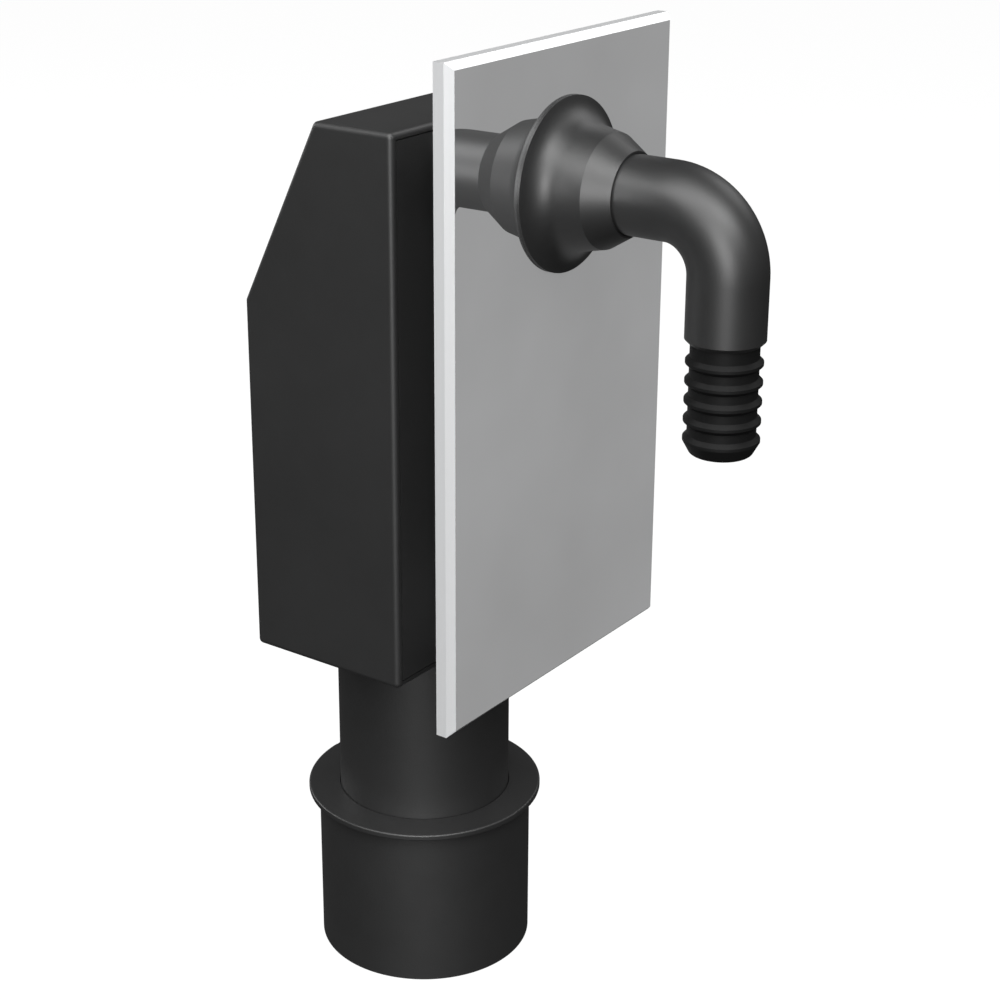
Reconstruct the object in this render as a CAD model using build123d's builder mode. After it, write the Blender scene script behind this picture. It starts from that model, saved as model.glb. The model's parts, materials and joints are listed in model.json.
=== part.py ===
"""Concealed washing machine trap: a flat water-seal box that is built into the wall, a stainless cover
plate on the tiles, a swivelling hose elbow in front of it and a 40/50 mm push-fit outlet underneath.

Millimetres. +Z is up, the front (the room side) is -Y, and X runs along the wall.
The origin is the centre of the outlet's lower end."""

import os

from build123d import *

os.makedirs("parts", exist_ok=True)

# Clearances
push_gap = 0.2  # radial gap between pieces that push into each other
swivel_gap = 0.15  # radial gap round the turning elbow
seat_gap = 0.3  # gap at the end of a push fit
seal_gap = 0.05  # gap left beside a rubber ring

# Outlet: a 40 mm pipe in a 50 mm push-fit reducer
outlet_radius = 20.0
outlet_wall = 2.0
outlet_neck_radius = 14.5  # the pipe's neck, welded into the box's floor
reducer_wall = 2.0
reducer_height = 40.0
collar_reach = 2.5
collar_thickness = 1.5
collar_round = 0.4
reducer_end_bevel = 0.6  # inside the end that enters the drain socket
pipe_stop_height = 12.0  # where the 40 mm pipe stops inside the reducer
pipe_stop_thickness = 3.0
reducer_flare = 5.0  # height of the cone under the pipe stop
seal_inset = 5.0  # from the reducer's top down to the seal's groove
seal_height = 9.0
seal_depth = 2.6  # depth of the seal's groove, from the pipe's bore
seal_cover = 2.2  # wall left outside the seal's groove
seal_back = 1.2  # thickness of the seal's band
seal_lip_pitch = 4.2
seal_lip_height = 2.4

# Trap housing: a flat box with a sloped top at the back
box_width = 70.0
box_height = 120.0
box_bottom = 83.0
slope_depth = 20.0  # how far the slope comes forward at the top
slope_height = 40.0  # how far the slope reaches down the back
box_wall = 2.5
edge_round = 1.2
rim_wall = 1.5  # wall left round the lid's rebate
side_lip = 3.0  # reach of the gasket flange, from a side wall
end_lip = 9.0  # reach of the gasket flange, from the floor or the top
flange_thickness = 2.0
flange_corner = 6.0  # corner cut of the flange's opening
notch_play = 0.5  # the flange's notch is this much wider than the inlet

# Front lid, its gasket and its screws
lid_thickness = 3.0
lid_gap = 0.25
gasket_thickness = 1.2
gasket_width = 2.0
gasket_inset = 0.4  # from the flange's opening to the gasket
screw_spacing = 34.0
screw_edge = 5.5  # from the box's top or bottom face to a screw's axis
screw_radius = 1.5
screw_head_radius = 2.8
screw_head_height = 1.9
screw_length = 9.5  # under the head
screw_slot_width = 0.8
screw_slot_depth = 0.9
boss_radius = 3.2
boss_depth = 4.0
pilot_gap = 0.05
hook_width = 8.0
hook_thickness = 1.4
hook_barb = 0.9
hook_spacing = 52.0
lid_rib_thickness = 1.6
lid_rib_height = 2.0
lid_rib_spacing = 12.0

# Standpipe: pushed into the outlet's mouth, and the water stands as high as its crest
mouth_radius = 12.0
mouth_length = 9.0
standpipe_radius = 10.5
standpipe_wall = 1.5
standpipe_height = 62.0  # crest above the box's floor
standpipe_flange_radius = 13.5
standpipe_flange_thickness = 2.0
standpipe_spigot_length = 8.0
standpipe_ring_depth = 4.5  # from the box's floor down to the O-ring
fin_thickness = 1.6
fin_bottom = 30.0  # above the box's floor
fin_height = 24.0

# Immersion bell: an upturned cup over the standpipe, on four feet
bell_width = 52.0
bell_depth = 26.6
bell_wall = 1.8
bell_corner = 5.0
bell_roof_round = 4.0
bell_air = 12.0  # from the standpipe's crest to the bell's roof inside
bell_foot_height = 10.0
bell_foot_width = 5.2
grip_width = 14.0
grip_height = 10.0
grip_thickness = 2.0
grip_hole = 5.5

# Inlet nipple: slides in the lid's socket until the wall is tiled
inlet_drop = 14.0  # from the box's top down to the inlet's axis
nipple_radius = 9.5
nipple_bore = 7.1
nipple_reach = 8.3  # in front of the cover plate
nipple_chamfer = 0.5
socket_radius = 12.0
socket_reach = 9.0  # in front of the lid
socket_lip_thickness = 1.2
nipple_ring_section = 1.4
nipple_ring_inset = 3.6  # from the nipple's back end to the first ring
nipple_ring_pitch = 3.2
groove_play = 0.4  # a groove is this much wider than its ring

# Cover plate: one folded stainless sheet, held between a backnut and the rosette
wall_space = 14.0  # plaster and tiles in front of the box
plate_width = 80.0
plate_height = 140.0
plate_skirt = 4.0  # how far the plate reaches below the box
plate_depth = 4.0
plate_bevel = 1.5
plate_sheet = 0.8
plate_washer_radius = 13.2
plate_washer_thickness = 1.0
backnut_width = 25.0  # across its flats
backnut_thickness = 2.6

# Rosette nut: clamps the plate and holds the elbow by its flange
rosette_radius = 18.2
rosette_rim = 0.6
rosette_flare = 1.9  # from the plate to the foot of the hub
hub_foot_radius = 13.8
hub_foot_round = 6.0  # the hollow between the flange and the hub
hub_nose_radius = 11.9
hub_length = 10.7
nose_length = 5.1
nose_radius = 8.75
rosette_washer_inner = 10.3
rosette_washer_outer = 12.6
rosette_washer_thickness = 1.2

# Hose elbow: turns in the nipple and the rosette
elbow_radius = 8.2
elbow_wall = 2.0
elbow_bend = 13.3
elbow_reach = 38.0  # from the plate's face to the axis of the hanging leg
elbow_leg = 13.5  # straight part of the hanging leg, below the bend
elbow_chamfer = 0.9
elbow_flange_radius = 9.4
elbow_flange_thickness = 1.6
slip_ring_thickness = 1.0
spigot_radius = 6.9
spigot_length = 12.0
spigot_wall = 2.0
spigot_ring_section = 1.0
spigot_ring_inset = 2.8
spigot_ring_pitch = 3.0

# Hose tail: pushed into the elbow's hanging leg
tail_neck_radius = 7.0
tail_barb_radius = 7.85
tail_neck_length = 2.7  # from the elbow's end to the first barb
tail_barb_pitch = 4.05
tail_barb_count = 5
tail_barb_edge = 0.6  # height of a barb's outer face
tail_tip_length = 4.3  # from the top of the last barb to the tip
tail_tip_radius = 6.3
tail_tip_round = 1.2
tail_bore = 4.0
tail_spigot_length = 9.0
tail_ring_section = 0.9
tail_ring_inset = 3.0

# Places worked out from the sizes above
box_depth = 2 * outlet_radius  # the pipe is flush with the box, front and back
reducer_bore = outlet_radius + push_gap
seal_groove = reducer_bore + seal_depth
reducer_radius = seal_groove + seal_cover
collar_radius = reducer_radius + collar_reach
seal_bottom = reducer_height - seal_inset - seal_height
front_y = -box_depth / 2
back_y = box_depth / 2
box_top = box_bottom + box_height
inlet_height = box_top - inlet_drop
plate_bottom = box_bottom - plate_skirt
elbow_end = inlet_height - elbow_bend - elbow_leg
last_barb_top = elbow_end - tail_neck_length - (tail_barb_count - 1) * tail_barb_pitch
tail_tip = last_barb_top - tail_tip_length
box_middle_z = box_bottom + box_height / 2
floor_z = box_bottom + box_wall
lid_back_y = front_y + lid_thickness
ledge_y = lid_back_y + gasket_thickness
cavity_front_y = ledge_y + flange_thickness
opening_width = box_width - 2 * (box_wall + side_lip)
opening_height = box_height - 2 * (box_wall + end_lip)
crest_z = floor_z + standpipe_height
plate_back_y = front_y - wall_space
plate_front_y = plate_back_y - plate_depth
sheet_back_y = plate_front_y + plate_sheet
nipple_front_y = plate_front_y - nipple_reach
nipple_back_y = lid_back_y - socket_lip_thickness - seat_gap
socket_front_y = front_y - socket_reach
flange_back_y = nipple_front_y - seat_gap
flange_front_y = flange_back_y - elbow_flange_thickness
slip_ring_y = flange_front_y - swivel_gap
shoulder_y = slip_ring_y - slip_ring_thickness
elbow_y = plate_front_y - elbow_reach
elbow_bore = elbow_radius - elbow_wall
inlet_axis = Axis((0, 0, inlet_height), (0, 1, 0))
tail_axis = Axis((0, elbow_y, 0), (0, 0, 1))
side_outline = [
    (front_y, box_bottom),
    (back_y, box_bottom),
    (back_y, box_top - slope_height),
    (back_y - slope_depth, box_top),
    (front_y, box_top),
]
screw_places = [
    (side * screw_spacing / 2, height)
    for side in (-1, 1)
    for height in (box_bottom + screw_edge, box_top - screw_edge)
]


def front_plane(y):
    """A plane across the part at this depth, facing the room."""
    return Plane.XZ.offset(-y)


def opening_outline(margin):
    """The flange's opening, grown by a margin: cut corners, and a round notch for the inlet."""
    with BuildSketch(mode=Mode.PRIVATE) as outline:
        Rectangle(opening_width, opening_height)
        chamfer(outline.vertices(), flange_corner)
        with Locations((0, inlet_height - box_middle_z)):
            Circle(nipple_bore + notch_play)
        if margin > 0:
            offset(amount=margin, kind=Kind.INTERSECTION, mode=Mode.REPLACE)
    return outline.sketch


# Trap housing: the box, the gasket flange and the screw bosses in one moulding
with BuildPart() as housing:
    with BuildSketch(Plane.YZ):
        with BuildLine():
            Polyline(*side_outline, close=True)
        make_face()
    extrude(amount=box_width / 2, both=True)
    fillet(housing.edges(), edge_round)
    with BuildSketch(Plane.YZ):
        with BuildLine():
            Polyline(*side_outline, close=True)
        make_face()
        offset(amount=-box_wall, kind=Kind.INTERSECTION, mode=Mode.REPLACE)
        with Locations((cavity_front_y, box_middle_z)):
            Rectangle(box_depth, box_height, align=(Align.MAX, Align.CENTER), mode=Mode.SUBTRACT)
    extrude(amount=box_width / 2 - box_wall, both=True, mode=Mode.SUBTRACT)
    # rebate for the lid and the opening behind it
    with BuildSketch(front_plane(front_y)):
        with Locations((0, box_middle_z)):
            Rectangle(box_width - 2 * rim_wall, box_height - 2 * rim_wall)
    extrude(amount=-(lid_thickness + gasket_thickness), mode=Mode.SUBTRACT)
    with BuildSketch(front_plane(ledge_y)):
        with Locations((0, box_middle_z)):
            add(opening_outline(0))
    extrude(amount=-flange_thickness, mode=Mode.SUBTRACT)
    # bosses behind the flange
    with BuildSketch(front_plane(ledge_y)):
        with Locations(*screw_places):
            Circle(boss_radius)
    extrude(amount=-boss_depth)
    with BuildSketch(front_plane(ledge_y)):
        with Locations(*screw_places):
            Circle(screw_radius + pilot_gap)
    extrude(amount=-boss_depth, mode=Mode.SUBTRACT)
    # hole in the floor for the outlet pipe's neck
    with BuildSketch(Plane.XY.offset(box_bottom)):
        Circle(outlet_neck_radius + push_gap)
    extrude(amount=box_wall, mode=Mode.SUBTRACT)
housing.part.label = "housing"
export_step(housing.part, "parts/housing.step")

# Outlet pipe: its shoulder is welded under the box, and its neck holds the standpipe's mouth
pipe_end_z = pipe_stop_height + seat_gap
with BuildPart() as outlet_pipe:
    with BuildSketch(Plane.XY.offset(pipe_end_z)):
        Circle(outlet_radius)
    extrude(amount=box_bottom - pipe_end_z)
    with BuildSketch(Plane.XY.offset(box_bottom)):
        Circle(outlet_neck_radius)
    extrude(amount=box_wall)
    with BuildSketch(Plane.XY.offset(pipe_end_z)):
        Circle(outlet_radius - outlet_wall)
    extrude(amount=floor_z - mouth_length - pipe_end_z, mode=Mode.SUBTRACT)
    with BuildSketch(Plane.XY.offset(pipe_end_z)):
        Circle(mouth_radius)
    extrude(amount=floor_z - pipe_end_z, mode=Mode.SUBTRACT)
outlet_pipe.part.label = "outlet_pipe"
export_step(outlet_pipe.part, "parts/outlet_pipe.step")

# Front lid: the socket for the nipple, stiffening ribs, and hooks that catch behind the flange
rib_bottom = box_bottom + 2 * screw_edge
rib_top = inlet_height - (socket_radius + nipple_radius + push_gap) / 2
hook_reach = gasket_thickness + flange_thickness + push_gap
with BuildPart() as front_lid:
    with BuildSketch(front_plane(front_y)):
        with Locations((0, box_middle_z)):
            Rectangle(box_width - 2 * (rim_wall + lid_gap), box_height - 2 * (rim_wall + lid_gap))
    extrude(amount=-lid_thickness)
    with BuildSketch(front_plane(front_y)):
        with Locations((0, rib_bottom)):
            with GridLocations(lid_rib_spacing, 0, 3, 1):
                Rectangle(lid_rib_thickness, rib_top - rib_bottom, align=(Align.CENTER, Align.MIN))
    extrude(amount=lid_rib_height)
    with BuildSketch(front_plane(front_y)):
        with Locations((0, inlet_height)):
            Circle(socket_radius)
    extrude(amount=socket_reach)
    with BuildSketch(front_plane(socket_front_y)):
        with Locations((0, inlet_height)):
            Circle(nipple_radius + push_gap)
    extrude(amount=socket_front_y - lid_back_y + socket_lip_thickness, mode=Mode.SUBTRACT)
    with BuildSketch(front_plane(front_y)):
        with Locations((0, inlet_height)):
            Circle(nipple_bore)
        with Locations(*screw_places):
            Circle(screw_radius + push_gap)
    extrude(amount=-lid_thickness, mode=Mode.SUBTRACT)
    for side in (-1, 1):
        for level in (-1, 1):
            hook_x = side * (opening_width / 2 - push_gap)
            hook_inner_x = hook_x - side * hook_thickness
            hook_z = box_middle_z + level * hook_spacing / 2 - hook_width / 2
            with BuildSketch(Plane.XY.offset(hook_z)):
                with BuildLine():
                    Polyline(
                        (hook_x, lid_back_y),
                        (hook_x, lid_back_y + hook_reach),
                        (hook_x + side * hook_barb, lid_back_y + hook_reach),
                        (hook_inner_x, lid_back_y + hook_reach + 2 * hook_barb),
                        (hook_inner_x, lid_back_y),
                        close=True,
                    )
                make_face()
            extrude(amount=hook_width)
front_lid.part.label = "front_lid"
export_step(front_lid.part, "parts/front_lid.step")

# Lid gasket: a flat rubber loop round the flange's opening
with BuildPart() as lid_gasket:
    with BuildSketch(front_plane(lid_back_y)):
        with Locations((0, box_middle_z)):
            add(opening_outline(gasket_inset + gasket_width))
            add(opening_outline(gasket_inset), mode=Mode.SUBTRACT)
    extrude(amount=-gasket_thickness)
lid_gasket.part.label = "lid_gasket"
export_step(lid_gasket.part, "parts/lid_gasket.step")

# Lid screws: four alike, with slotted pan heads
with BuildPart() as lid_screws:
    with BuildSketch(front_plane(front_y)):
        with Locations(*screw_places):
            Circle(screw_head_radius)
    extrude(amount=screw_head_height)
    fillet(lid_screws.edges().group_by(Axis.Y)[0], screw_head_height / 2)
    with BuildSketch(front_plane(front_y)):
        with Locations(*screw_places):
            Circle(screw_radius)
    extrude(amount=-screw_length)
    chamfer(lid_screws.edges().group_by(Axis.Y)[-1], screw_radius / 2)
    with BuildSketch(front_plane(front_y - screw_head_height)):
        with Locations(*screw_places):
            Rectangle(screw_slot_width, 2 * screw_head_radius)
    extrude(amount=-screw_slot_depth, mode=Mode.SUBTRACT)
lid_screws.part.label = "lid_screws"
export_step(lid_screws.part, "parts/lid_screws.step")

# Standpipe: a tube on a flange, with a ringed spigot below and two fins that centre the bell
standpipe_spigot = mouth_radius - push_gap
standpipe_groove = mouth_radius - seal_gap - nipple_ring_section - seal_gap
standpipe_ring_z = floor_z - standpipe_ring_depth
with BuildPart() as standpipe:
    with BuildSketch(Plane.XY.offset(floor_z - standpipe_spigot_length)):
        Circle(standpipe_spigot)
    extrude(amount=standpipe_spigot_length)
    with BuildSketch(Plane.XY.offset(floor_z)):
        Circle(standpipe_flange_radius)
    extrude(amount=standpipe_flange_thickness)
    with BuildSketch(Plane.XY.offset(floor_z)):
        Circle(standpipe_radius)
    extrude(amount=standpipe_height)
    with BuildSketch(Plane.XY.offset(floor_z + fin_bottom)):
        Rectangle(bell_width - 2 * bell_wall - 2 * push_gap, fin_thickness)
    extrude(amount=fin_height)
    with BuildSketch(Plane.XY.offset(floor_z - standpipe_spigot_length)):
        Circle(standpipe_radius - standpipe_wall)
    extrude(amount=standpipe_spigot_length + standpipe_height, mode=Mode.SUBTRACT)
    with BuildSketch(Plane.XY.offset(standpipe_ring_z)):
        Circle(mouth_radius)
        Circle(standpipe_groove, mode=Mode.SUBTRACT)
    extrude(amount=(nipple_ring_section + groove_play) / 2, both=True, mode=Mode.SUBTRACT)
    crest_rim = standpipe.edges().filter_by(GeomType.CIRCLE).group_by(Axis.Z)[-1].sort_by(SortBy.RADIUS)[0]
    chamfer(crest_rim, standpipe_wall / 2)
standpipe.part.label = "standpipe"
export_step(standpipe.part, "parts/standpipe.step")

# Standpipe ring
with BuildPart() as standpipe_ring:
    with BuildSketch(Plane.XZ):
        with Locations((standpipe_groove + seal_gap / 2 + nipple_ring_section / 2, standpipe_ring_z)):
            Circle(nipple_ring_section / 2)
    revolve(axis=Axis.Z)
standpipe_ring.part.label = "standpipe_ring"
export_step(standpipe_ring.part, "parts/standpipe_ring.step")

# Immersion bell: a shelled cup with gaps between its feet and a grip on its roof
bell_roof_z = crest_z + bell_air + bell_wall
with BuildPart() as immersion_bell:
    with BuildSketch(Plane.XY.offset(floor_z)):
        RectangleRounded(bell_width, bell_depth, bell_corner)
    extrude(amount=bell_roof_z - floor_z)
    fillet(immersion_bell.faces().sort_by(Axis.Z)[-1].edges(), bell_roof_round)
    offset(amount=-bell_wall, openings=immersion_bell.faces().sort_by(Axis.Z)[0])
    with BuildSketch(Plane.XY.offset(floor_z)):
        Rectangle(bell_width - 2 * bell_foot_width, 2 * bell_depth)
        Rectangle(2 * bell_width, bell_depth - 2 * bell_foot_width)
    extrude(amount=bell_foot_height, mode=Mode.SUBTRACT)
    with BuildSketch(Plane.XZ):
        with Locations((0, bell_roof_z - bell_wall / 2)):
            Rectangle(grip_width, grip_height + bell_wall / 2, align=(Align.CENTER, Align.MIN))
        with Locations((0, bell_roof_z + grip_height / 2)):
            Circle(grip_hole / 2, mode=Mode.SUBTRACT)
    extrude(amount=grip_thickness / 2, both=True)
immersion_bell.part.label = "immersion_bell"
export_step(immersion_bell.part, "parts/immersion_bell.step")

# Inlet nipple: a threaded tube with two ringed grooves at its back end
nipple_groove = nipple_radius + push_gap - seal_gap - nipple_ring_section - seal_gap
nipple_ring_places = [nipple_back_y - nipple_ring_inset - step * nipple_ring_pitch for step in (0, 1)]
with BuildPart() as inlet_nipple:
    with BuildSketch(front_plane(nipple_back_y)):
        with Locations((0, inlet_height)):
            Circle(nipple_radius)
    extrude(amount=nipple_back_y - nipple_front_y)
    chamfer(inlet_nipple.edges().filter_by(GeomType.CIRCLE), nipple_chamfer)
    with BuildSketch(front_plane(nipple_back_y)):
        with Locations((0, inlet_height)):
            Circle(nipple_bore)
    extrude(amount=nipple_back_y - nipple_front_y, mode=Mode.SUBTRACT)
    for ring_y in nipple_ring_places:
        with BuildSketch(front_plane(ring_y)):
            with Locations((0, inlet_height)):
                Circle(socket_radius)
                Circle(nipple_groove, mode=Mode.SUBTRACT)
        extrude(amount=(nipple_ring_section + groove_play) / 2, both=True, mode=Mode.SUBTRACT)
inlet_nipple.part.label = "inlet_nipple"
export_step(inlet_nipple.part, "parts/inlet_nipple.step")

# Nipple rings: two O-rings that slide in the lid's socket
with BuildPart() as nipple_rings:
    with BuildSketch(Plane.YZ):
        for ring_y in nipple_ring_places:
            with Locations((ring_y, inlet_height + nipple_groove + seal_gap + nipple_ring_section / 2)):
                Circle(nipple_ring_section / 2)
    revolve(axis=inlet_axis)
nipple_rings.part.label = "nipple_rings"
export_step(nipple_rings.part, "parts/nipple_rings.step")

# Cover plate: a shallow folded tray with a bevelled edge, open at the back
with BuildPart() as cover_plate:
    with BuildSketch(front_plane(plate_back_y)):
        with Locations((0, plate_bottom + plate_height / 2)):
            Rectangle(plate_width, plate_height)
    extrude(amount=plate_depth)
    chamfer(cover_plate.faces().sort_by(Axis.Y)[0].edges(), plate_bevel)
    offset(amount=-plate_sheet, openings=cover_plate.faces().sort_by(Axis.Y)[-1], kind=Kind.INTERSECTION)
    with BuildSketch(front_plane(plate_front_y)):
        with Locations((0, inlet_height)):
            Circle(nipple_radius + push_gap)
    extrude(amount=-plate_depth, mode=Mode.SUBTRACT)
cover_plate.part.label = "cover_plate"
export_step(cover_plate.part, "parts/cover_plate.step")

# Plate washer: rubber, between the sheet and the backnut
with BuildPart() as plate_washer:
    with BuildSketch(front_plane(sheet_back_y)):
        with Locations((0, inlet_height)):
            Circle(plate_washer_radius)
            Circle(nipple_radius + push_gap, mode=Mode.SUBTRACT)
    extrude(amount=-plate_washer_thickness)
plate_washer.part.label = "plate_washer"
export_step(plate_washer.part, "parts/plate_washer.step")

# Backnut: a thin hexagon on the nipple, behind the plate
with BuildPart() as plate_backnut:
    with BuildSketch(front_plane(sheet_back_y + plate_washer_thickness)):
        with Locations((0, inlet_height)):
            RegularPolygon(backnut_width / 2, 6, major_radius=False)
            Circle(nipple_radius + push_gap / 2, mode=Mode.SUBTRACT)
    extrude(amount=-backnut_thickness)
plate_backnut.part.label = "plate_backnut"
export_step(plate_backnut.part, "parts/plate_backnut.step")

# Rosette washer: rubber, in a recess behind the hub
with BuildPart() as rosette_washer:
    with BuildSketch(front_plane(plate_front_y)):
        with Locations((0, inlet_height)):
            Circle(rosette_washer_outer)
            Circle(rosette_washer_inner, mode=Mode.SUBTRACT)
    extrude(amount=rosette_washer_thickness)
rosette_washer.part.label = "rosette_washer"
export_step(rosette_washer.part, "parts/rosette_washer.step")

# Rosette nut: a thin flange that sweeps into a tapered hub, and a conical nose round the elbow
hub_end_y = plate_front_y - hub_length
nose_end_y = hub_end_y - nose_length
recess_y = plate_front_y - rosette_washer_thickness
hub_foot = (plate_front_y - rosette_flare, inlet_height + hub_foot_radius)
with BuildPart() as rosette_nut:
    with BuildSketch(Plane.YZ) as rosette_section:
        with BuildLine():
            Polyline(
                (plate_front_y, inlet_height + rosette_washer_outer + push_gap),
                (plate_front_y, inlet_height + rosette_radius),
                (plate_front_y - rosette_rim, inlet_height + rosette_radius),
                hub_foot,
                (hub_end_y, inlet_height + hub_nose_radius),
                (nose_end_y, inlet_height + nose_radius),
                (nose_end_y, inlet_height + elbow_radius + swivel_gap),
                (shoulder_y, inlet_height + elbow_radius + swivel_gap),
                (shoulder_y, inlet_height + nipple_radius + push_gap),
                (recess_y, inlet_height + nipple_radius + push_gap),
                (recess_y, inlet_height + rosette_washer_outer + push_gap),
                close=True,
            )
        make_face()
        fillet(rosette_section.vertices().sort_by_distance(hub_foot)[0], hub_foot_round)
    revolve(axis=inlet_axis)
rosette_nut.part.label = "rosette_nut"
export_step(rosette_nut.part, "parts/rosette_nut.step")

# Slip ring: hard plastic, between the elbow's flange and the rosette's shoulder
with BuildPart() as slip_ring:
    with BuildSketch(front_plane(slip_ring_y)):
        with Locations((0, inlet_height)):
            Circle(nipple_radius)
            Circle(elbow_radius + swivel_gap, mode=Mode.SUBTRACT)
    extrude(amount=slip_ring_thickness)
slip_ring.part.label = "slip_ring"
export_step(slip_ring.part, "parts/slip_ring.step")

# Hose elbow: a ringed spigot, a flange, and a pipe that bends down
spigot_back_y = flange_back_y + spigot_length
spigot_bore = spigot_radius - spigot_wall
spigot_groove = nipple_bore - seal_gap - spigot_ring_section - seal_gap
spigot_ring_places = [spigot_back_y - spigot_ring_inset - step * spigot_ring_pitch for step in (0, 1)]
with BuildPart() as hose_elbow:
    with BuildLine() as pipe_path:
        FilletPolyline(
            (0, flange_front_y, inlet_height),
            (0, elbow_y, inlet_height),
            (0, elbow_y, elbow_end),
            radius=elbow_bend,
        )
    with BuildSketch(front_plane(flange_front_y)):
        with Locations((0, inlet_height)):
            Circle(elbow_radius)
    sweep(path=pipe_path.line)
    chamfer(hose_elbow.edges().group_by(Axis.Z)[0], elbow_chamfer)
    with BuildSketch(front_plane(flange_front_y)):
        with Locations((0, inlet_height)):
            Circle(elbow_flange_radius)
    extrude(amount=-elbow_flange_thickness)
    with BuildSketch(front_plane(flange_back_y)):
        with Locations((0, inlet_height)):
            Circle(spigot_radius)
    extrude(amount=-spigot_length)
    chamfer(hose_elbow.edges().group_by(Axis.Y)[-1], (spigot_radius - spigot_groove) / 2)
    for ring_y in spigot_ring_places:
        with BuildSketch(front_plane(ring_y)):
            with Locations((0, inlet_height)):
                Circle(elbow_radius)
                Circle(spigot_groove, mode=Mode.SUBTRACT)
        extrude(amount=(spigot_ring_section + groove_play) / 2, both=True, mode=Mode.SUBTRACT)
    with BuildSketch(front_plane(flange_front_y)):
        with Locations((0, inlet_height)):
            Circle(elbow_bore)
    sweep(path=pipe_path.line, mode=Mode.SUBTRACT)
    with BuildSketch(front_plane(flange_front_y)):
        with Locations((0, inlet_height)):
            Circle(spigot_bore)
    extrude(amount=-(elbow_flange_thickness + spigot_length), mode=Mode.SUBTRACT)
hose_elbow.part.label = "hose_elbow"
export_step(hose_elbow.part, "parts/hose_elbow.step")

# Elbow rings: two O-rings that turn with the elbow inside the nipple
with BuildPart() as elbow_rings:
    with BuildSketch(Plane.YZ):
        for ring_y in spigot_ring_places:
            with Locations((ring_y, inlet_height + spigot_groove + seal_gap + spigot_ring_section / 2)):
                Circle(spigot_ring_section / 2)
    revolve(axis=inlet_axis)
elbow_rings.part.label = "elbow_rings"
export_step(elbow_rings.part, "parts/elbow_rings.step")

# Hose tail: a plug with one ring, a neck, and barbs that slope both ways, the last one down to the tip
tail_plug_radius = elbow_bore - push_gap
tail_plug_top = elbow_end + tail_spigot_length
tail_groove = elbow_bore - seal_gap - tail_ring_section - seal_gap
tail_ring_z = tail_plug_top - tail_ring_inset
groove_half = (tail_ring_section + groove_play) / 2
barb_rise = tail_barb_radius - tail_neck_radius
barb_outline = []
for step in reversed(range(tail_barb_count)):
    top = last_barb_top + step * tail_barb_pitch
    barb_outline += [
        (tail_neck_radius, top),
        (tail_barb_radius, top - barb_rise),
        (tail_barb_radius, top - barb_rise - tail_barb_edge),
        (tail_neck_radius, top - 2 * barb_rise - tail_barb_edge),
    ]
tail_outline = [
    (tail_bore, tail_plug_top),
    (tail_plug_radius, tail_plug_top),
    (tail_plug_radius, tail_ring_z + groove_half),
    (tail_groove, tail_ring_z + groove_half),
    (tail_groove, tail_ring_z - groove_half),
    (tail_plug_radius, tail_ring_z - groove_half),
    (tail_plug_radius, elbow_end - seal_gap),
    (tail_neck_radius, elbow_end - seal_gap),
    *barb_outline[:-1],
    (tail_tip_radius, tail_tip),
    (tail_bore, tail_tip),
]
with BuildPart() as hose_tail:
    with BuildSketch(Plane.YZ) as tail_section:
        with BuildLine():
            Polyline(*[(elbow_y + radius, height) for radius, height in tail_outline], close=True)
        make_face()
        fillet(tail_section.vertices().group_by(Axis.Y)[0].sort_by(Axis.X)[-1], tail_tip_round)
    revolve(axis=tail_axis)
hose_tail.part.label = "hose_tail"
export_step(hose_tail.part, "parts/hose_tail.step")

# Tail ring
with BuildPart() as tail_ring:
    with BuildSketch(Plane.YZ):
        with Locations((elbow_y + tail_groove + seal_gap + tail_ring_section / 2, tail_ring_z)):
            Circle(tail_ring_section / 2)
    revolve(axis=tail_axis)
tail_ring.part.label = "tail_ring"
export_step(tail_ring.part, "parts/tail_ring.step")

# Outlet reducer: a 50 mm sleeve with a collar, a pipe stop and a groove for its lip seal
stop_bottom = pipe_stop_height - pipe_stop_thickness
with BuildPart() as outlet_reducer:
    with BuildSketch(Plane.XZ) as reducer_section:
        with BuildLine():
            Polyline(
                (reducer_radius - reducer_wall, 2 * reducer_end_bevel),
                (reducer_radius - reducer_wall + reducer_end_bevel, 0),
                (reducer_radius, 0),
                (reducer_radius, reducer_height - collar_thickness),
                (collar_radius, reducer_height - collar_thickness),
                (collar_radius, reducer_height),
                (reducer_bore, reducer_height),
                (reducer_bore, seal_bottom + seal_height),
                (seal_groove, seal_bottom + seal_height),
                (seal_groove, seal_bottom),
                (reducer_bore, seal_bottom),
                (reducer_bore, pipe_stop_height),
                (outlet_radius - outlet_wall, pipe_stop_height),
                (outlet_radius - outlet_wall, stop_bottom),
                (reducer_radius - reducer_wall, stop_bottom - reducer_flare),
                close=True,
            )
        make_face()
        fillet(reducer_section.vertices().sort_by(Axis.X)[-2:], collar_round)
    revolve(axis=Axis.Z)
outlet_reducer.part.label = "outlet_reducer"
export_step(outlet_reducer.part, "parts/outlet_reducer.step")

# Reducer seal: a rubber band with two lips on the pipe
seal_outer = seal_groove - seal_gap
seal_inner = seal_outer - seal_back
seal_top_z = seal_bottom + seal_height - seal_gap
with BuildPart() as reducer_seal:
    with BuildSketch(Plane.XZ):
        with BuildLine():
            Polyline(
                (seal_inner, seal_bottom + seal_gap),
                (seal_outer, seal_bottom + seal_gap),
                (seal_outer, seal_top_z),
                (seal_inner, seal_top_z),
                close=True,
            )
        make_face()
        for step in (0, 1):
            lip_z = seal_top_z - step * seal_lip_pitch
            with BuildLine():
                Polyline(
                    (seal_inner + seal_gap, lip_z),
                    (seal_inner + seal_gap, lip_z - seal_lip_height),
                    (outlet_radius + seal_gap, lip_z - seal_lip_height),
                    close=True,
                )
            make_face()
    revolve(axis=Axis.Z)
reducer_seal.part.label = "reducer_seal"
export_step(reducer_seal.part, "parts/reducer_seal.step")
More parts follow.
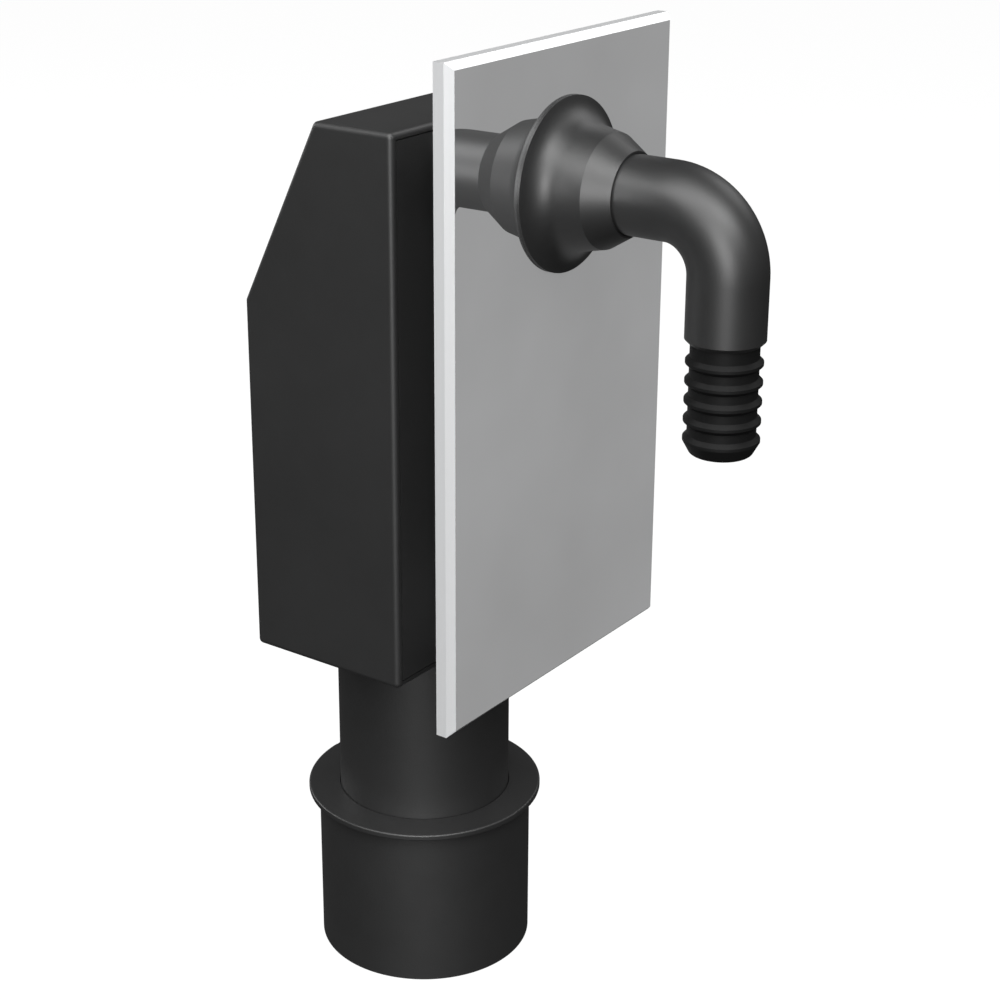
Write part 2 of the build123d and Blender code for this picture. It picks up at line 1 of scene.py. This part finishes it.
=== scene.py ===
# %% [markdown]
# # A washing machine trap that is built into the wall
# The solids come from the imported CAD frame, at their real size and place. This script gives them their
# finishes, adds the fine pieces that the solids leave out, and sets up a small studio.

import json
import math

import bmesh
import bpy
from mathutils import Matrix, Vector


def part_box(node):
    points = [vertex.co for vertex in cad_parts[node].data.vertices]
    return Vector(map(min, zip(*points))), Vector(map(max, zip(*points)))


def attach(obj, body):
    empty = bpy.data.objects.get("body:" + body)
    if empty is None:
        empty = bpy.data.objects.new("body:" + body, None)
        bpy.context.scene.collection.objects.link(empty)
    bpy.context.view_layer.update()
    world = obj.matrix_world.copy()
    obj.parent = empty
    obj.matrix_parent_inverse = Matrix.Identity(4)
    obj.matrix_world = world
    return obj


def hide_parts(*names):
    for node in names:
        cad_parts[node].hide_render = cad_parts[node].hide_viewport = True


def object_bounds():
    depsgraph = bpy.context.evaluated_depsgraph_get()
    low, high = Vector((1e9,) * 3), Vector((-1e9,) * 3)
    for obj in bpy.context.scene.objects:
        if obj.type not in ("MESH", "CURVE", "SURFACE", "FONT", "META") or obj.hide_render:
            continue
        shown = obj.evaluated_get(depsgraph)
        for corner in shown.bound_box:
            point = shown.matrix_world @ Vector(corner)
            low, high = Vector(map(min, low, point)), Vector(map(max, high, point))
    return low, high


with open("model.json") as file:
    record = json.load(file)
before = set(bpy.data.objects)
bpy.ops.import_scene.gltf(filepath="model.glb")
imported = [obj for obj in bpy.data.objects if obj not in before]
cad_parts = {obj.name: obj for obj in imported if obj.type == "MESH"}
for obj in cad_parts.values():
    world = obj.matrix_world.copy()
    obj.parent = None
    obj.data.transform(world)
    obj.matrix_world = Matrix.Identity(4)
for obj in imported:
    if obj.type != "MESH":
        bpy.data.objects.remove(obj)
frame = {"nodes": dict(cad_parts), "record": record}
nodes = frame["nodes"]
cad_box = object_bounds()
print("nodes:", len(nodes))

# %% [markdown]
# ## Units and places
# The frame is in metres. The sizes below are written in millimetres, because that is how a maker thinks
# of them, and `mm` turns them into metres. Places are read from the solids, so they follow the CAD.

# %% Units and places
mm = 0.001

plate_low, plate_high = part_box("cover_plate")
nipple_low, nipple_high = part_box("inlet_nipple")
inlet_height = (nipple_low.z + nipple_high.z) / 2
print("inlet height in mm:", round(inlet_height / mm, 2))

# %% [markdown]
# ## Node trees written as Python
# A finish is a node tree, and so is a piece that repeats or follows a path. Most of such a tree is
# arithmetic: a noise is scaled, shifted and mixed with another. Adding Math nodes one at a time hides
# that. This small class wraps a socket, so that `0.4 + 0.1 * noise` adds the Math nodes by itself and
# reads like the formula it stands for.


# %% Sums in a node tree
class Sum:
    """A value that a node tree works out at each point."""

    def __init__(self, tree, socket):
        self.tree = tree
        self.socket = socket

    def join(self, operation, first, second):
        """Adds one Math node for two values, each a sum or a plain number."""
        math_node = self.tree.nodes.new("ShaderNodeMath")
        math_node.operation = operation
        for slot, value in zip(math_node.inputs, (first, second)):
            if isinstance(value, Sum):
                self.tree.links.new(value.socket, slot)
            else:
                slot.default_value = value
        return Sum(self.tree, math_node.outputs[0])

    def __add__(self, other):
        return self.join("ADD", self, other)

    def __radd__(self, other):
        return self.join("ADD", other, self)

    def __sub__(self, other):
        return self.join("SUBTRACT", self, other)

    def __rsub__(self, other):
        return self.join("SUBTRACT", other, self)

    def __mul__(self, other):
        return self.join("MULTIPLY", self, other)

    def __rmul__(self, other):
        return self.join("MULTIPLY", other, self)

    def __gt__(self, other):
        return self.join("GREATER_THAN", self, other)

    def largest(self, other):
        return self.join("MAXIMUM", self, other)

    def smallest(self, other):
        return self.join("MINIMUM", self, other)

    def size(self):
        return self.join("ABSOLUTE", self, 0.0)


# %% [markdown]
# One method adds every node, here and in all that follows: its settings come first, and then the values
# or links of its sockets. A finish is such a tree with a surface shader at its end.


# %% Trees and finishes
class Tree:
    """A node tree under construction, with its nodes made by one method."""

    def __init__(self, tree):
        self.tree = tree

    def node(self, kind, settings=None, inputs=None):
        """Adds a node and returns its outputs by name."""
        made = self.tree.nodes.new(kind)
        for key, value in (settings or {}).items():
            setattr(made, key, value)
        sockets = {socket.name: socket for socket in made.inputs if socket.enabled}
        for key, value in (inputs or {}).items():
            self.feed(sockets[key], value)
        return {socket.name: Sum(self.tree, socket) for socket in made.outputs if socket.enabled}

    def feed(self, socket, value):
        """Links a sum to a socket, or sets the socket to a plain value."""
        if isinstance(value, Sum):
            self.tree.links.new(value.socket, socket)
        else:
            socket.default_value = value


class Finish(Tree):
    """A material under construction."""

    def __init__(self, name):
        self.material = bpy.data.materials.new(name)
        self.material.use_nodes = True
        super().__init__(self.material.node_tree)
        self.surface = self.tree.nodes["Principled BSDF"]
        self.place = self.node("ShaderNodeTexCoord")["Object"]

    def set(self, **values):
        """Sets the shader's own sockets, named with underscores for spaces."""
        for key, value in values.items():
            self.feed(self.surface.inputs[key.replace("_", " ")], value)

    def noise(self, per_metre, detail=3.0, roughness=0.5, stretch=(1.0, 1.0, 1.0)):
        """Noise from 0 to 1, with this many features to the metre."""
        spread = self.node(
            "ShaderNodeMapping",
            inputs={"Vector": self.place, "Scale": stretch},
        )["Vector"]
        return self.node(
            "ShaderNodeTexNoise",
            inputs={"Vector": spread, "Scale": per_metre, "Detail": detail, "Roughness": roughness},
        )["Fac"]

    def mix(self, amount, first, second):
        """A colour between two others."""
        return self.node(
            "ShaderNodeMix",
            settings={"data_type": "RGBA"},
            inputs={"Factor": amount, "A": first, "B": second},
        )["Result"]

    def bump(self, height, depth, under=None):
        """A normal from a height of 0 to 1, this deep in metres, laid over another normal."""
        inputs = {"Height": height, "Distance": depth, "Strength": 1.0}
        if under:
            inputs["Normal"] = under
        return self.node("ShaderNodeBump", inputs=inputs)["Normal"]


def grey(level, tint=0.0):
    """A neutral colour; a positive tint leans it towards blue."""
    return (level * (1 - tint), level, level * (1 + tint), 1.0)


# %% [markdown]
# ## Black moulded plastic
# The box, its lid, the outlet and the sleeve are polypropylene, moulded in black. Such a moulding has a
# fine eroded grain, so its highlights are broad and soft, and the colour wanders a little where the melt
# flowed. Two noises do this: a fine one for the grain, as bump, and a large one for the roughness.


# %% Black moulded plastic
def moulded_plastic(name, level, gloss, grain_depth, specular=0.4):
    """Black polypropylene: its colour level, its roughness and the depth of its grain."""
    finish = Finish(name)
    grain = finish.noise(per_metre=2600, detail=2.0)
    flow = finish.noise(per_metre=22, detail=3.0)
    wear = finish.noise(per_metre=160, detail=4.0, roughness=0.6)
    finish.set(
        Base_Color=finish.mix(0.65 * flow + 0.35 * wear, grey(level * 0.82), grey(level * 1.18, 0.015)),
        Roughness=gloss - 0.05 + 0.06 * flow + 0.04 * wear,
        Specular_IOR_Level=specular,
        Normal=finish.bump(grain, grain_depth),
    )
    return finish.material


housing_black = moulded_plastic(
    "moulded_black", level=0.016, gloss=0.48, grain_depth=0.02 * mm, specular=1.0
)
fitting_black = moulded_plastic(
    "fitting_black", level=0.016, gloss=0.45, grain_depth=0.006 * mm, specular=1.0
)
tail_black = moulded_plastic(
    "tail_black", level=0.008, gloss=0.5, grain_depth=0.01 * mm, specular=0.15
)
insert_grey = moulded_plastic("insert_grey", level=0.42, gloss=0.45, grain_depth=0.012 * mm)
slip_white = moulded_plastic("slip_white", level=0.72, gloss=0.35, grain_depth=0.004 * mm)


# %% [markdown]
# ## Rubber
# The seals are black rubber. It is darker and duller than the plastic, with a bloom that greys it in
# patches.


# %% Rubber
def seal_rubber():
    """Black seal rubber with a faint bloom."""
    finish = Finish("seal_rubber")
    bloom = finish.noise(per_metre=90, detail=4.0)
    skin = finish.noise(per_metre=3200, detail=2.0)
    finish.set(
        Base_Color=finish.mix(bloom, grey(0.012), grey(0.03)),
        Roughness=0.62 + 0.15 * bloom,
        Specular_IOR_Level=0.3,
        Normal=finish.bump(skin, 0.01 * mm),
    )
    return finish.material


rubber = seal_rubber()

# %% [markdown]
# ## Polished stainless sheet
# The cover plate is a thin stainless sheet, folded back all round. Its face is polished but not a perfect
# mirror: rolling leaves it slightly cloudy, with very fine lines that run down the sheet. Its bevel and
# its outer sides carry a painted highlight: they are painted brighter than the face. The mask for that
# painted highlight is worked out from the place on the plate, in metres.
# Nor is a pressed sheet quite flat: this one is dished by a seventh of a millimetre, which moves what it
# mirrors near its sides. The dish and the lines are both bump, one laid over the other.


# %% Polished stainless sheet
dish_depth = 0.14 * mm
line_depth = 0.0002 * mm


def stainless_sheet(low, high, bevel):
    """The plate's steel, with a cloudy face and a painted highlight on its bevelled edges."""
    finish = Finish("plate_steel")
    place = finish.node("ShaderNodeSeparateXYZ", inputs={"Vector": finish.place})
    half_width = (high.x - low.x) / 2 - bevel
    half_height = (high.z - low.z) / 2 - bevel
    middle = (high.z + low.z) / 2
    past_side = place["X"].size() > half_width
    past_end = (place["Z"] - middle).size() > half_height
    # The bevel and the outer sides get a painted highlight: this mask paints them brighter than the face.
    edge_highlight_mask = past_side.largest(past_end)
    lines = finish.noise(per_metre=900, detail=3.0, stretch=(1.0, 1.0, 0.02))
    cloud = finish.noise(per_metre=14, detail=4.0, roughness=0.5)
    face = finish.mix(cloud, grey(0.52), grey(0.8, 0.01))
    across = place["X"] * (1 / half_width)
    dished = finish.bump(across * across, dish_depth)
    finish.set(
        # painted highlight: a near-white grey on the bevel and the outer sides
        Base_Color=finish.mix(edge_highlight_mask, face, grey(0.93, 0.01)),
        Metallic=0.9 - 0.5 * edge_highlight_mask,
        Roughness=0.3 * edge_highlight_mask,
        Normal=finish.bump(lines, line_depth, under=dished),
    )
    return finish.material


plate_steel = stainless_sheet(plate_low, plate_high, bevel=1.45 * mm)


def plain_steel():
    """Turned stainless for the small screws."""
    finish = Finish("screw_steel")
    wear = finish.noise(per_metre=700, detail=3.0)
    finish.set(
        Base_Color=finish.mix(wear, grey(0.5), grey(0.64)),
        Metallic=1.0,
        Roughness=0.24 + 0.14 * wear,
        Normal=finish.bump(wear, 0.004 * mm),
    )
    return finish.material


screw_steel = plain_steel()

# %% [markdown]
# ## A finish for every solid
# The record names a material slot for each node. One table from slot to finish covers them all.

# %% Dress the solids
finishes = {
    "moulded_black": housing_black,
    "fitting_black": fitting_black,
    "tail_black": tail_black,
    "insert_grey": insert_grey,
    "slip_white": slip_white,
    "seal_rubber": rubber,
    "screw_steel": screw_steel,
    "plate_steel": plate_steel,
}
node_slots = {part["node"]: part["material_slot"] for part in frame["record"]["subparts"]}


def dress(piece, finish):
    """Puts one finish on every face of a piece."""
    piece.data.materials.clear()
    piece.data.materials.append(finish)


for node_name, node in nodes.items():
    dress(node, finishes[node_slots[node_name]])
print("dressed:", len(nodes))

# %% [markdown]
# ## Pieces that a node tree grows
# The solids leave out the thread on the nipple, and their screws and nut are plain. The thread follows a
# helix and the four screws are alike, so Geometry Nodes grow both. The tree's inputs are the piece's real
# sizes. It is evaluated once, and what it grew is kept as a plain mesh.


# %% Growing a piece
class Growth(Tree):
    """A Geometry Nodes tree that grows one piece from named values."""

    kinds = {
        float: "NodeSocketFloat",
        bpy.types.Material: "NodeSocketMaterial",
        bpy.types.Object: "NodeSocketObject",
    }

    def __init__(self, name, **values):
        super().__init__(bpy.data.node_groups.new(name, "GeometryNodeTree"))
        self.values = values
        for label, value in values.items():
            self.tree.interface.new_socket(label, in_out="INPUT", socket_type=self.kinds[type(value)])
        self.tree.interface.new_socket("piece", in_out="OUTPUT", socket_type="NodeSocketGeometry")
        self.given = self.node("NodeGroupInput")

    def grow(self, geometry):
        """Ends the tree with its finish, evaluates it once and returns the mesh."""
        whole = self.node("GeometryNodeRealizeInstances", inputs={"Geometry": geometry})["Geometry"]
        coat = {"Geometry": whole, "Material": self.given["finish"]}
        coated = self.node("GeometryNodeSetMaterial", inputs=coat)["Geometry"]
        self.node("NodeGroupOutput", inputs={"piece": coated})
        carrier = bpy.data.objects.new("carrier", bpy.data.meshes.new("carrier"))
        bpy.context.scene.collection.objects.link(carrier)
        modifier = carrier.modifiers.new("growth", "NODES")
        modifier.node_group = self.tree
        for socket in self.tree.interface.items_tree:
            if socket.in_out == "INPUT":
                modifier[socket.identifier] = self.values[socket.name]
        grown = carrier.evaluated_get(bpy.context.evaluated_depsgraph_get())
        mesh = bpy.data.meshes.new_from_object(grown)
        bpy.data.objects.remove(carrier)
        return mesh


def place_piece(name, mesh, replaced=None):
    """Makes a mesh a piece of the trap's fixed body, in place of a solid where one is named."""
    mesh.name = name
    mesh.shade_smooth()
    mesh.set_sharp_from_angle(angle=math.radians(30))
    piece = bpy.data.objects.new(name, mesh)
    bpy.context.scene.collection.objects.link(piece)
    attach(piece, "trap_body")
    if replaced:
        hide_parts(replaced)
    print(name, "triangles:", sum(len(face.vertices) - 2 for face in mesh.polygons))


# %% [markdown]
# ### The nipple's thread
# The thread shows between the backnut and the lid's socket. It is a low ridge that fades out at both
# ends, swept along a helix about the inlet's axis.

# %% Thread
backnut_low, backnut_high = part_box("plate_backnut")
socket_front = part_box("front_lid")[0].y
thread_pitch = 1.5 * mm
ridge_width = 1.1 * mm
thread_room = socket_front - backnut_high.y - ridge_width
faded_share = 1 / 12  # of the thread's length, at each end
thread = Growth(
    "thread",
    radius=(nipple_high.z - nipple_low.z) / 2,
    ridge=0.18 * mm,
    width=ridge_width,
    length=thread_room,
    turns=thread_room / thread_pitch,
    finish=housing_black,
)
given = thread.given
helix = thread.node(
    "GeometryNodeCurveSpiral",
    inputs={
        "Resolution": 72,
        "Rotations": given["turns"],
        "Start Radius": given["radius"],
        "End Radius": given["radius"],
        "Height": given["length"],
    },
)["Curve"]
way = thread.node("GeometryNodeSplineParameter")["Factor"]
rise = way * (1 / faded_share)
fall = (1.0 - way) * (1 / faded_share)
fade = rise.smallest(fall).smallest(1.0)
faded = thread.node("GeometryNodeSetCurveRadius", inputs={"Curve": helix, "Radius": fade})["Curve"]
upright = thread.node("GeometryNodeSetCurveNormal", {"mode": "Z_UP"}, {"Curve": faded})["Curve"]
ridge_profile = thread.node(
    "GeometryNodeCurvePrimitiveQuadrilateral",
    settings={"mode": "KITE"},
    inputs={
        "Width": 2.0 * given["ridge"],
        "Bottom Height": 0.5 * given["width"],
        "Top Height": 0.5 * given["width"],
    },
)["Curve"]
ridge = thread.node(
    "GeometryNodeCurveToMesh",
    inputs={"Curve": upright, "Profile Curve": ridge_profile, "Fill Caps": True},
)["Mesh"]
laid = thread.node(
    "GeometryNodeTransform",
    inputs={
        "Geometry": ridge,
        "Rotation": (-math.pi / 2, 0, 0),
        "Translation": (0, backnut_high.y + ridge_width / 2, inlet_height),
    },
)["Geometry"]
place_piece("nipple_thread", thread.grow(laid))

# %% [markdown]
# ### Turned pieces with recesses
# A screw and a nut are turned on an axis, but the screw's recess is a cross and the nut is a hexagon.
# Each can be written as rings of points: at every angle a ring has a radius and a depth. A round ring
# has one radius, a hexagon's radius depends on the angle, and so does a cross's.


# %% Rings of points
def turned_mesh(name, angles, rings, closed=False):
    """A mesh of rings about the Y axis; a ring gives its radius and its place on the axis at an angle."""
    shape = bmesh.new()
    rows = []
    for ring in rings:
        row = []
        for angle in angles:
            radius, depth = ring(angle)
            row.append(shape.verts.new((radius * math.cos(angle), depth, radius * math.sin(angle))))
        rows.append(row)
    pairs = list(zip(rows, rows[1:]))
    if closed:
        pairs.append((rows[-1], rows[0]))
    else:
        shape.faces.new(rows[0])
        shape.faces.new(rows[-1])
    for row, following in pairs:
        for step in range(len(angles)):
            after = (step + 1) % len(angles)
            shape.faces.new((row[step], row[after], following[after], following[step]))
    bmesh.ops.recalc_face_normals(shape, faces=shape.faces)
    mesh = bpy.data.meshes.new(name)
    shape.to_mesh(mesh)
    shape.free()
    return mesh


def round_ring(radius, depth):
    """A ring with one radius and one place on the axis."""
    return lambda angle: (radius, depth)


# %% [markdown]
# ### Lid screws
# Four pan-head screws hold the lid. Each head has a tapered cross recess, and each screw stopped at its
# own angle when it was driven home. One screw is built from rings, and the tree puts it on a grid of
# four points and turns every copy by a random angle.

# %% One screw
screws_low, screws_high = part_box("lid_screws")
lid_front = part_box("housing")[0].y  # the lid is flush with the box
head_radius = 2.8 * mm
dome_height = 1.1 * mm
shank_radius = 1.5 * mm
cross_reach = 1.6 * mm
cross_depth = 1.2 * mm
cross_turn = math.radians(15)  # half the angle that one arm of the cross takes up
turn_steps = 48
full_turn = [step * math.tau / turn_steps for step in range(turn_steps)]


def dome(radius):
    """Height of the domed head at this distance from its axis."""
    return screws_low.y + dome_height * (radius / head_radius) ** 4


def cross_ring(reach, depth):
    """A ring in the shape of a cross, this deep under the dome."""

    def ring(angle):
        turn = abs((angle + math.pi / 4) % (math.pi / 2) - math.pi / 4)
        side = math.tan(cross_turn) / max(math.sin(turn), cross_turn / 2)
        radius = reach * min(1 / math.cos(turn), side)
        return radius, dome(radius) + depth

    return ring


one_screw = bpy.data.objects.new(
    "one_screw",
    turned_mesh(
        "one_screw",
        full_turn,
        [
            cross_ring(0.45 * cross_reach, cross_depth),
            cross_ring(cross_reach, 0),
            round_ring(0.75 * head_radius, dome(0.75 * head_radius)),
            round_ring(0.92 * head_radius, dome(0.92 * head_radius)),
            round_ring(head_radius, dome(head_radius)),
            round_ring(head_radius, lid_front),
            round_ring(shank_radius, lid_front),
            round_ring(shank_radius, screws_high.y - shank_radius / 2),
            round_ring(shank_radius / 2, screws_high.y),
        ],
    ),
)

# %% Four screws
screws = Growth(
    "screws",
    screw=one_screw,
    across=screws_high.x - screws_low.x - 2 * head_radius,
    upward=screws_high.z - screws_low.z - 2 * head_radius,
    finish=screw_steel,
)
given = screws.given
corners = screws.node(
    "GeometryNodeMeshGrid",
    inputs={"Size X": given["across"], "Size Y": given["upward"], "Vertices X": 2, "Vertices Y": 2},
)["Mesh"]
standing = screws.node(
    "GeometryNodeTransform",
    inputs={
        "Geometry": corners,
        "Rotation": (math.pi / 2, 0, 0),
        "Translation": (0, 0, (screws_low.z + screws_high.z) / 2),
    },
)["Geometry"]
stop_angle = screws.node(
    "FunctionNodeRandomValue",
    inputs={"Min": 0.0, "Max": math.tau, "Seed": 3},
)["Value"]
turned = screws.node("ShaderNodeCombineXYZ", inputs={"Y": stop_angle})["Vector"]
screw_shape = screws.node("GeometryNodeObjectInfo", inputs={"Object": given["screw"]})["Geometry"]
placed = screws.node(
    "GeometryNodeInstanceOnPoints",
    inputs={"Points": standing, "Instance": screw_shape, "Rotation": turned},
)["Instances"]
place_piece("lid_screws_crossed", screws.grow(placed), replaced="lid_screws")

# %% [markdown]
# ### Backnut
# The backnut holds the plate from behind. It is a thin hexagon whose rear corners are turned off, as on
# any nut, so its flats meet the cone in arcs.

# %% Backnut
flat_reach = (backnut_high.z - backnut_low.z) / 2
thread_gap = 0.1 * mm
thread_radius = (nipple_high.z - nipple_low.z) / 2 + thread_gap
cone_radius = 0.98 * flat_reach
cone_slope = math.tan(math.radians(30))


def hexagon(angle):
    """Distance from the axis to the hexagon's side at this angle."""
    return flat_reach / math.cos(angle % (math.pi / 3) - math.pi / 6)


backnut = turned_mesh(
    "backnut",
    full_turn,
    [
        round_ring(thread_radius, backnut_high.y),
        round_ring(cone_radius, backnut_high.y),
        lambda angle: (hexagon(angle), backnut_high.y - cone_slope * (hexagon(angle) - cone_radius)),
        lambda angle: (hexagon(angle), backnut_low.y),
        round_ring(thread_radius, backnut_low.y),
    ],
    closed=True,
)
backnut.transform(Matrix.Translation((0, 0, inlet_height)))
backnut.materials.append(housing_black)
place_piece("backnut_chamfered", backnut, replaced="plate_backnut")

# %% [markdown]
# ## The camera
# The camera stands to the left of the front and a little above, close enough for clear perspective. Its
# place, direction and focal length come from the straight edges of the object in the photograph. The
# shift is the small offset of the picture's centre.

# %% Camera
camera_data = bpy.data.cameras.new("camera")
camera = bpy.data.objects.new("camera", camera_data)
bpy.context.scene.collection.objects.link(camera)
camera_azimuth = math.radians(-53.8)
camera_elevation = math.radians(20.4)
camera.location = (-346.35 * mm, -266.39 * mm, 283.93 * mm)
camera.rotation_euler = (math.pi / 2 - camera_elevation, 0, camera_azimuth)
camera_data.lens = 74.48
camera_data.sensor_width = 36.0
camera_data.shift_x = 0.0318
camera_data.shift_y = -0.0435
camera_data.clip_start = 0.01
bpy.context.scene.camera = camera
print("camera to the inlet in mm:", round((camera.location - Vector((0, 0, inlet_height))).length / mm))

# %% [markdown]
# ## A pale studio
# The floor is a plain sheet that the outlet stands on. It is white to the camera, grey in the steel's
# mirror, and nearly dark to everything else, so that the black plastic stays black at its edges.

# %% Floor
mirrored_level = 0.46  # how bright the studio is in a mirror
scattered_level = 0.02  # and in a surface that scatters its reflections
floor_glow = 0.96
floor_seen = grey(0.1)  # the floor's colour to the camera, on top of its glow
floor_unseen = grey(0.02)  # and to the light that it would throw back on the object
floor_size = 30.0
floor_gap = 0.2 * mm  # under the object, so that the two don't share a plane
floor_mesh = bpy.data.meshes.new("floor")
corners = [(x * floor_size, y * floor_size, 0) for x, y in ((-1, -1), (1, -1), (1, 1), (-1, 1))]
floor_mesh.from_pydata(corners, [], [(0, 1, 2, 3)])
floor = bpy.data.objects.new("floor", floor_mesh)
bpy.context.scene.collection.objects.link(floor)
floor.location.z = cad_box[0][2] - floor_gap


def backdrop_level(finish):
    """White for the camera, pale in a mirror, and dim in a surface that scatters its reflections."""
    rays = finish.node("ShaderNodeLightPath")
    scattered = rays["Is Glossy Ray"].largest(rays["Is Transmission Ray"])
    mirrored = (scattered_level * scattered).largest(mirrored_level * rays["Is Singular Ray"])
    return mirrored.largest(rays["Is Camera Ray"])


floor_finish = Finish("floor")
seen = floor_finish.node("ShaderNodeLightPath")["Is Camera Ray"]
floor_finish.set(
    Base_Color=floor_finish.mix(seen, floor_unseen, floor_seen),
    Roughness=0.9,
    Specular_IOR_Level=0.0,
    Emission_Color=grey(1.0),
    Emission_Strength=floor_glow * backdrop_level(floor_finish),
)
floor_mesh.materials.append(floor_finish.material)

# %% [markdown]
# The world is the same backdrop, with a faint light of its own for surfaces that no lamp reaches.

# %% World
world = bpy.data.worlds.new("studio")
bpy.context.scene.world = world
world.use_nodes = True
sky = Tree(world.node_tree)
ambient_level = 0.08
background = sky.tree.nodes["Background"]
sky.feed(background.inputs["Strength"], backdrop_level(sky).largest(ambient_level))
background.inputs["Color"].default_value = grey(1.0)

# %% [markdown]
# ## The lamps
# Seven square lamps stand on a dome round the object. Five of them are on the side that the camera sees,
# and together they give the plastic broad highlights from the upper left. The other two light the right
# side and the back.

# %% Lamps
lamp_size = 0.6
lamp_distance = 1.2
object_middle = Vector((0.0, -0.03, 0.12))


def soft_lamp(name, azimuth, elevation, watts):
    """A square lamp turned to the object's middle; both angles are in degrees, azimuth from the left."""
    turn = math.radians(azimuth)
    climb = math.radians(elevation)
    level = math.cos(climb)
    toward = Vector((-math.cos(turn) * level, -math.sin(turn) * level, math.sin(climb)))
    lamp_data = bpy.data.lights.new(name, "AREA")
    lamp_data.size = lamp_size
    lamp_data.energy = watts
    lamp = bpy.data.objects.new(name, lamp_data)
    bpy.context.scene.collection.objects.link(lamp)
    lamp.location = object_middle + lamp_distance * toward
    lamp.rotation_euler = (-toward).to_track_quat("-Z", "Y").to_euler()


soft_lamp("side", -14, 45, 5)
soft_lamp("low", 30, 10, 7.5)
soft_lamp("key", 36, 42, 3)
soft_lamp("front", 70, 48, 6)
soft_lamp("high", 20, 66, 3.5)
soft_lamp("right", 165, 40, 2)
soft_lamp("back", 275, 22, 4)
bpy.context.scene.view_settings.view_transform = "Standard"
